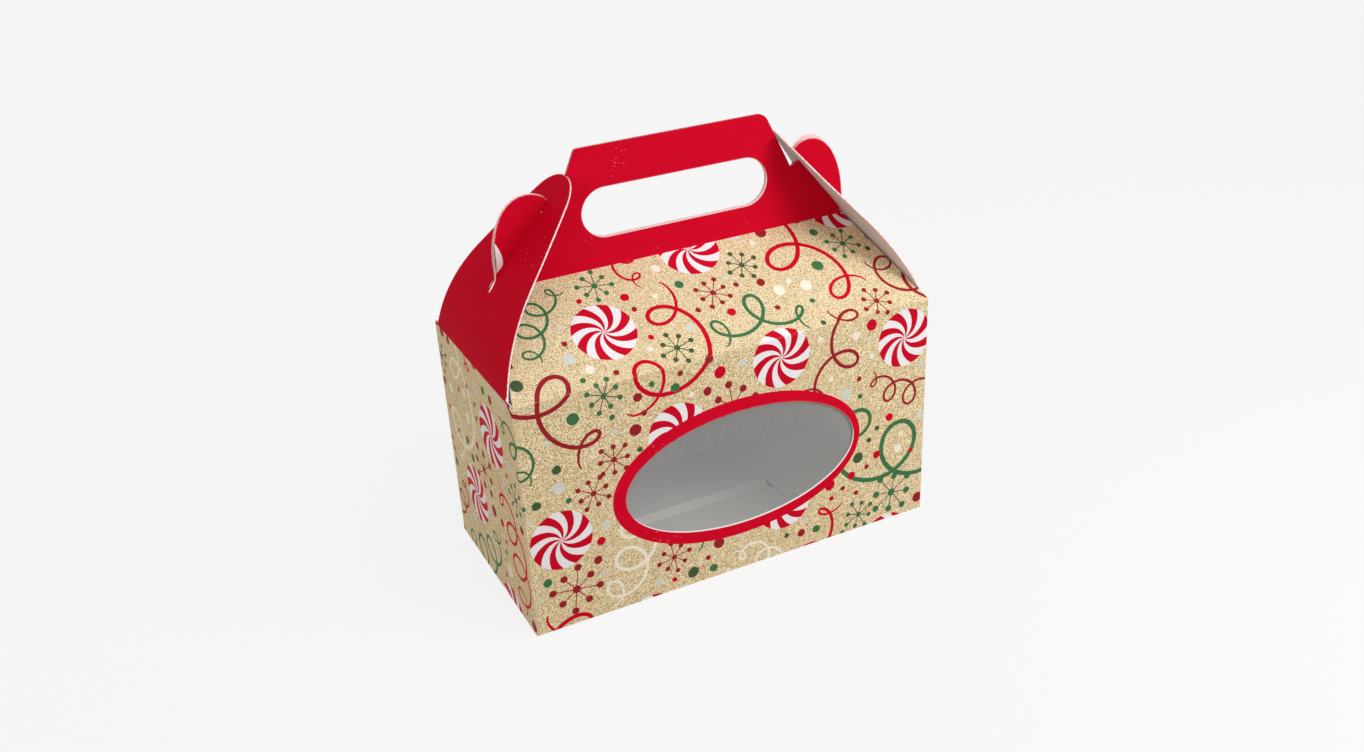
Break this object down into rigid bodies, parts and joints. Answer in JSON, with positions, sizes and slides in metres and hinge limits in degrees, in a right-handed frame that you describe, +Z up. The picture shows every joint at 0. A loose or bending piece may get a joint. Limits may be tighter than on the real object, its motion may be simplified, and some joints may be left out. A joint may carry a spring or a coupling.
{
  "type": "gable carton",
  "caption": "Folding board gable carton with a cut-out handle, hooked ears in slotted end flaps, an oval film window and a snap-lock base.",
  "frame": {"origin": "middle of the base, where the carton stands", "axes": "+X to the right along the front wall, +Y from front to back, +Z up"},
  "size_m": [0.21, 0.103, 0.2031],
  "materials": {
    "kraft_board": "satin",
    "red_board": "satin",
    "clear_film": "gloss"
  },
  "bodies": {
    "carton": {"front_wall": "kraft_board", "back_wall": "kraft_board", "left_wall": "kraft_board", "right_wall": "kraft_board", "glue_flap": "kraft_board", "window_film": "clear_film", "front_bottom_flap": "kraft_board", "back_bottom_flap": "kraft_board", "left_bottom_flap": "kraft_board", "right_bottom_flap": "kraft_board"},
    "front_roof": {"front_roof_panel": "kraft_board"},
    "back_roof": {"back_roof_panel": "kraft_board"},
    "front_grip": {"front_handle": "red_board", "front_left_ear": "red_board", "front_right_ear": "red_board"},
    "back_grip": {"back_handle": "red_board", "back_left_ear": "red_board", "back_right_ear": "red_board"},
    "left_flap": {"left_end_flap": "red_board"},
    "right_flap": {"right_end_flap": "red_board"}
  },
  "joints": [
    {"name": "left_flap_crease", "type": "hinge", "parent": "carton", "child": "left_flap", "pos_m": [-0.105, 0, 0.1161], "axis": [0, -1, 0], "range_deg": [0, 187.5]},
    {"name": "right_flap_crease", "type": "hinge", "parent": "carton", "child": "right_flap", "pos_m": [0.105, 0, 0.1161], "axis": [0, 1, 0], "range_deg": [0, 187.5]},
    {"name": "front_roof_crease", "type": "hinge", "parent": "carton", "child": "front_roof", "pos_m": [0, -0.0515, 0.1161], "axis": [1, 0, 0], "range_deg": [0, 150]},
    {"name": "back_roof_crease", "type": "hinge", "parent": "carton", "child": "back_roof", "pos_m": [0, 0.0515, 0.1161], "axis": [-1, 0, 0], "range_deg": [0, 150]},
    {"name": "front_handle_crease", "type": "hinge", "parent": "front_roof", "child": "front_grip", "pos_m": [0, -0.00075, 0.1468], "axis": [1, 0, 0], "range_deg": [0, 115], "deforming": ["front_left_ear", "front_right_ear"]},
    {"name": "back_handle_crease", "type": "hinge", "parent": "back_roof", "child": "back_grip", "pos_m": [0, 0.00075, 0.1468], "axis": [-1, 0, 0], "range_deg": [0, 115], "deforming": ["back_left_ear", "back_right_ear"]}
  ],
  "couplings": [
    {"joint": "right_flap_crease", "follows": "left_flap_crease", "ratio": 1},
    {"joint": "front_roof_crease", "follows": "left_flap_crease", "ratio": 0.8},
    {"joint": "back_roof_crease", "follows": "left_flap_crease", "ratio": 0.8}
  ]
}
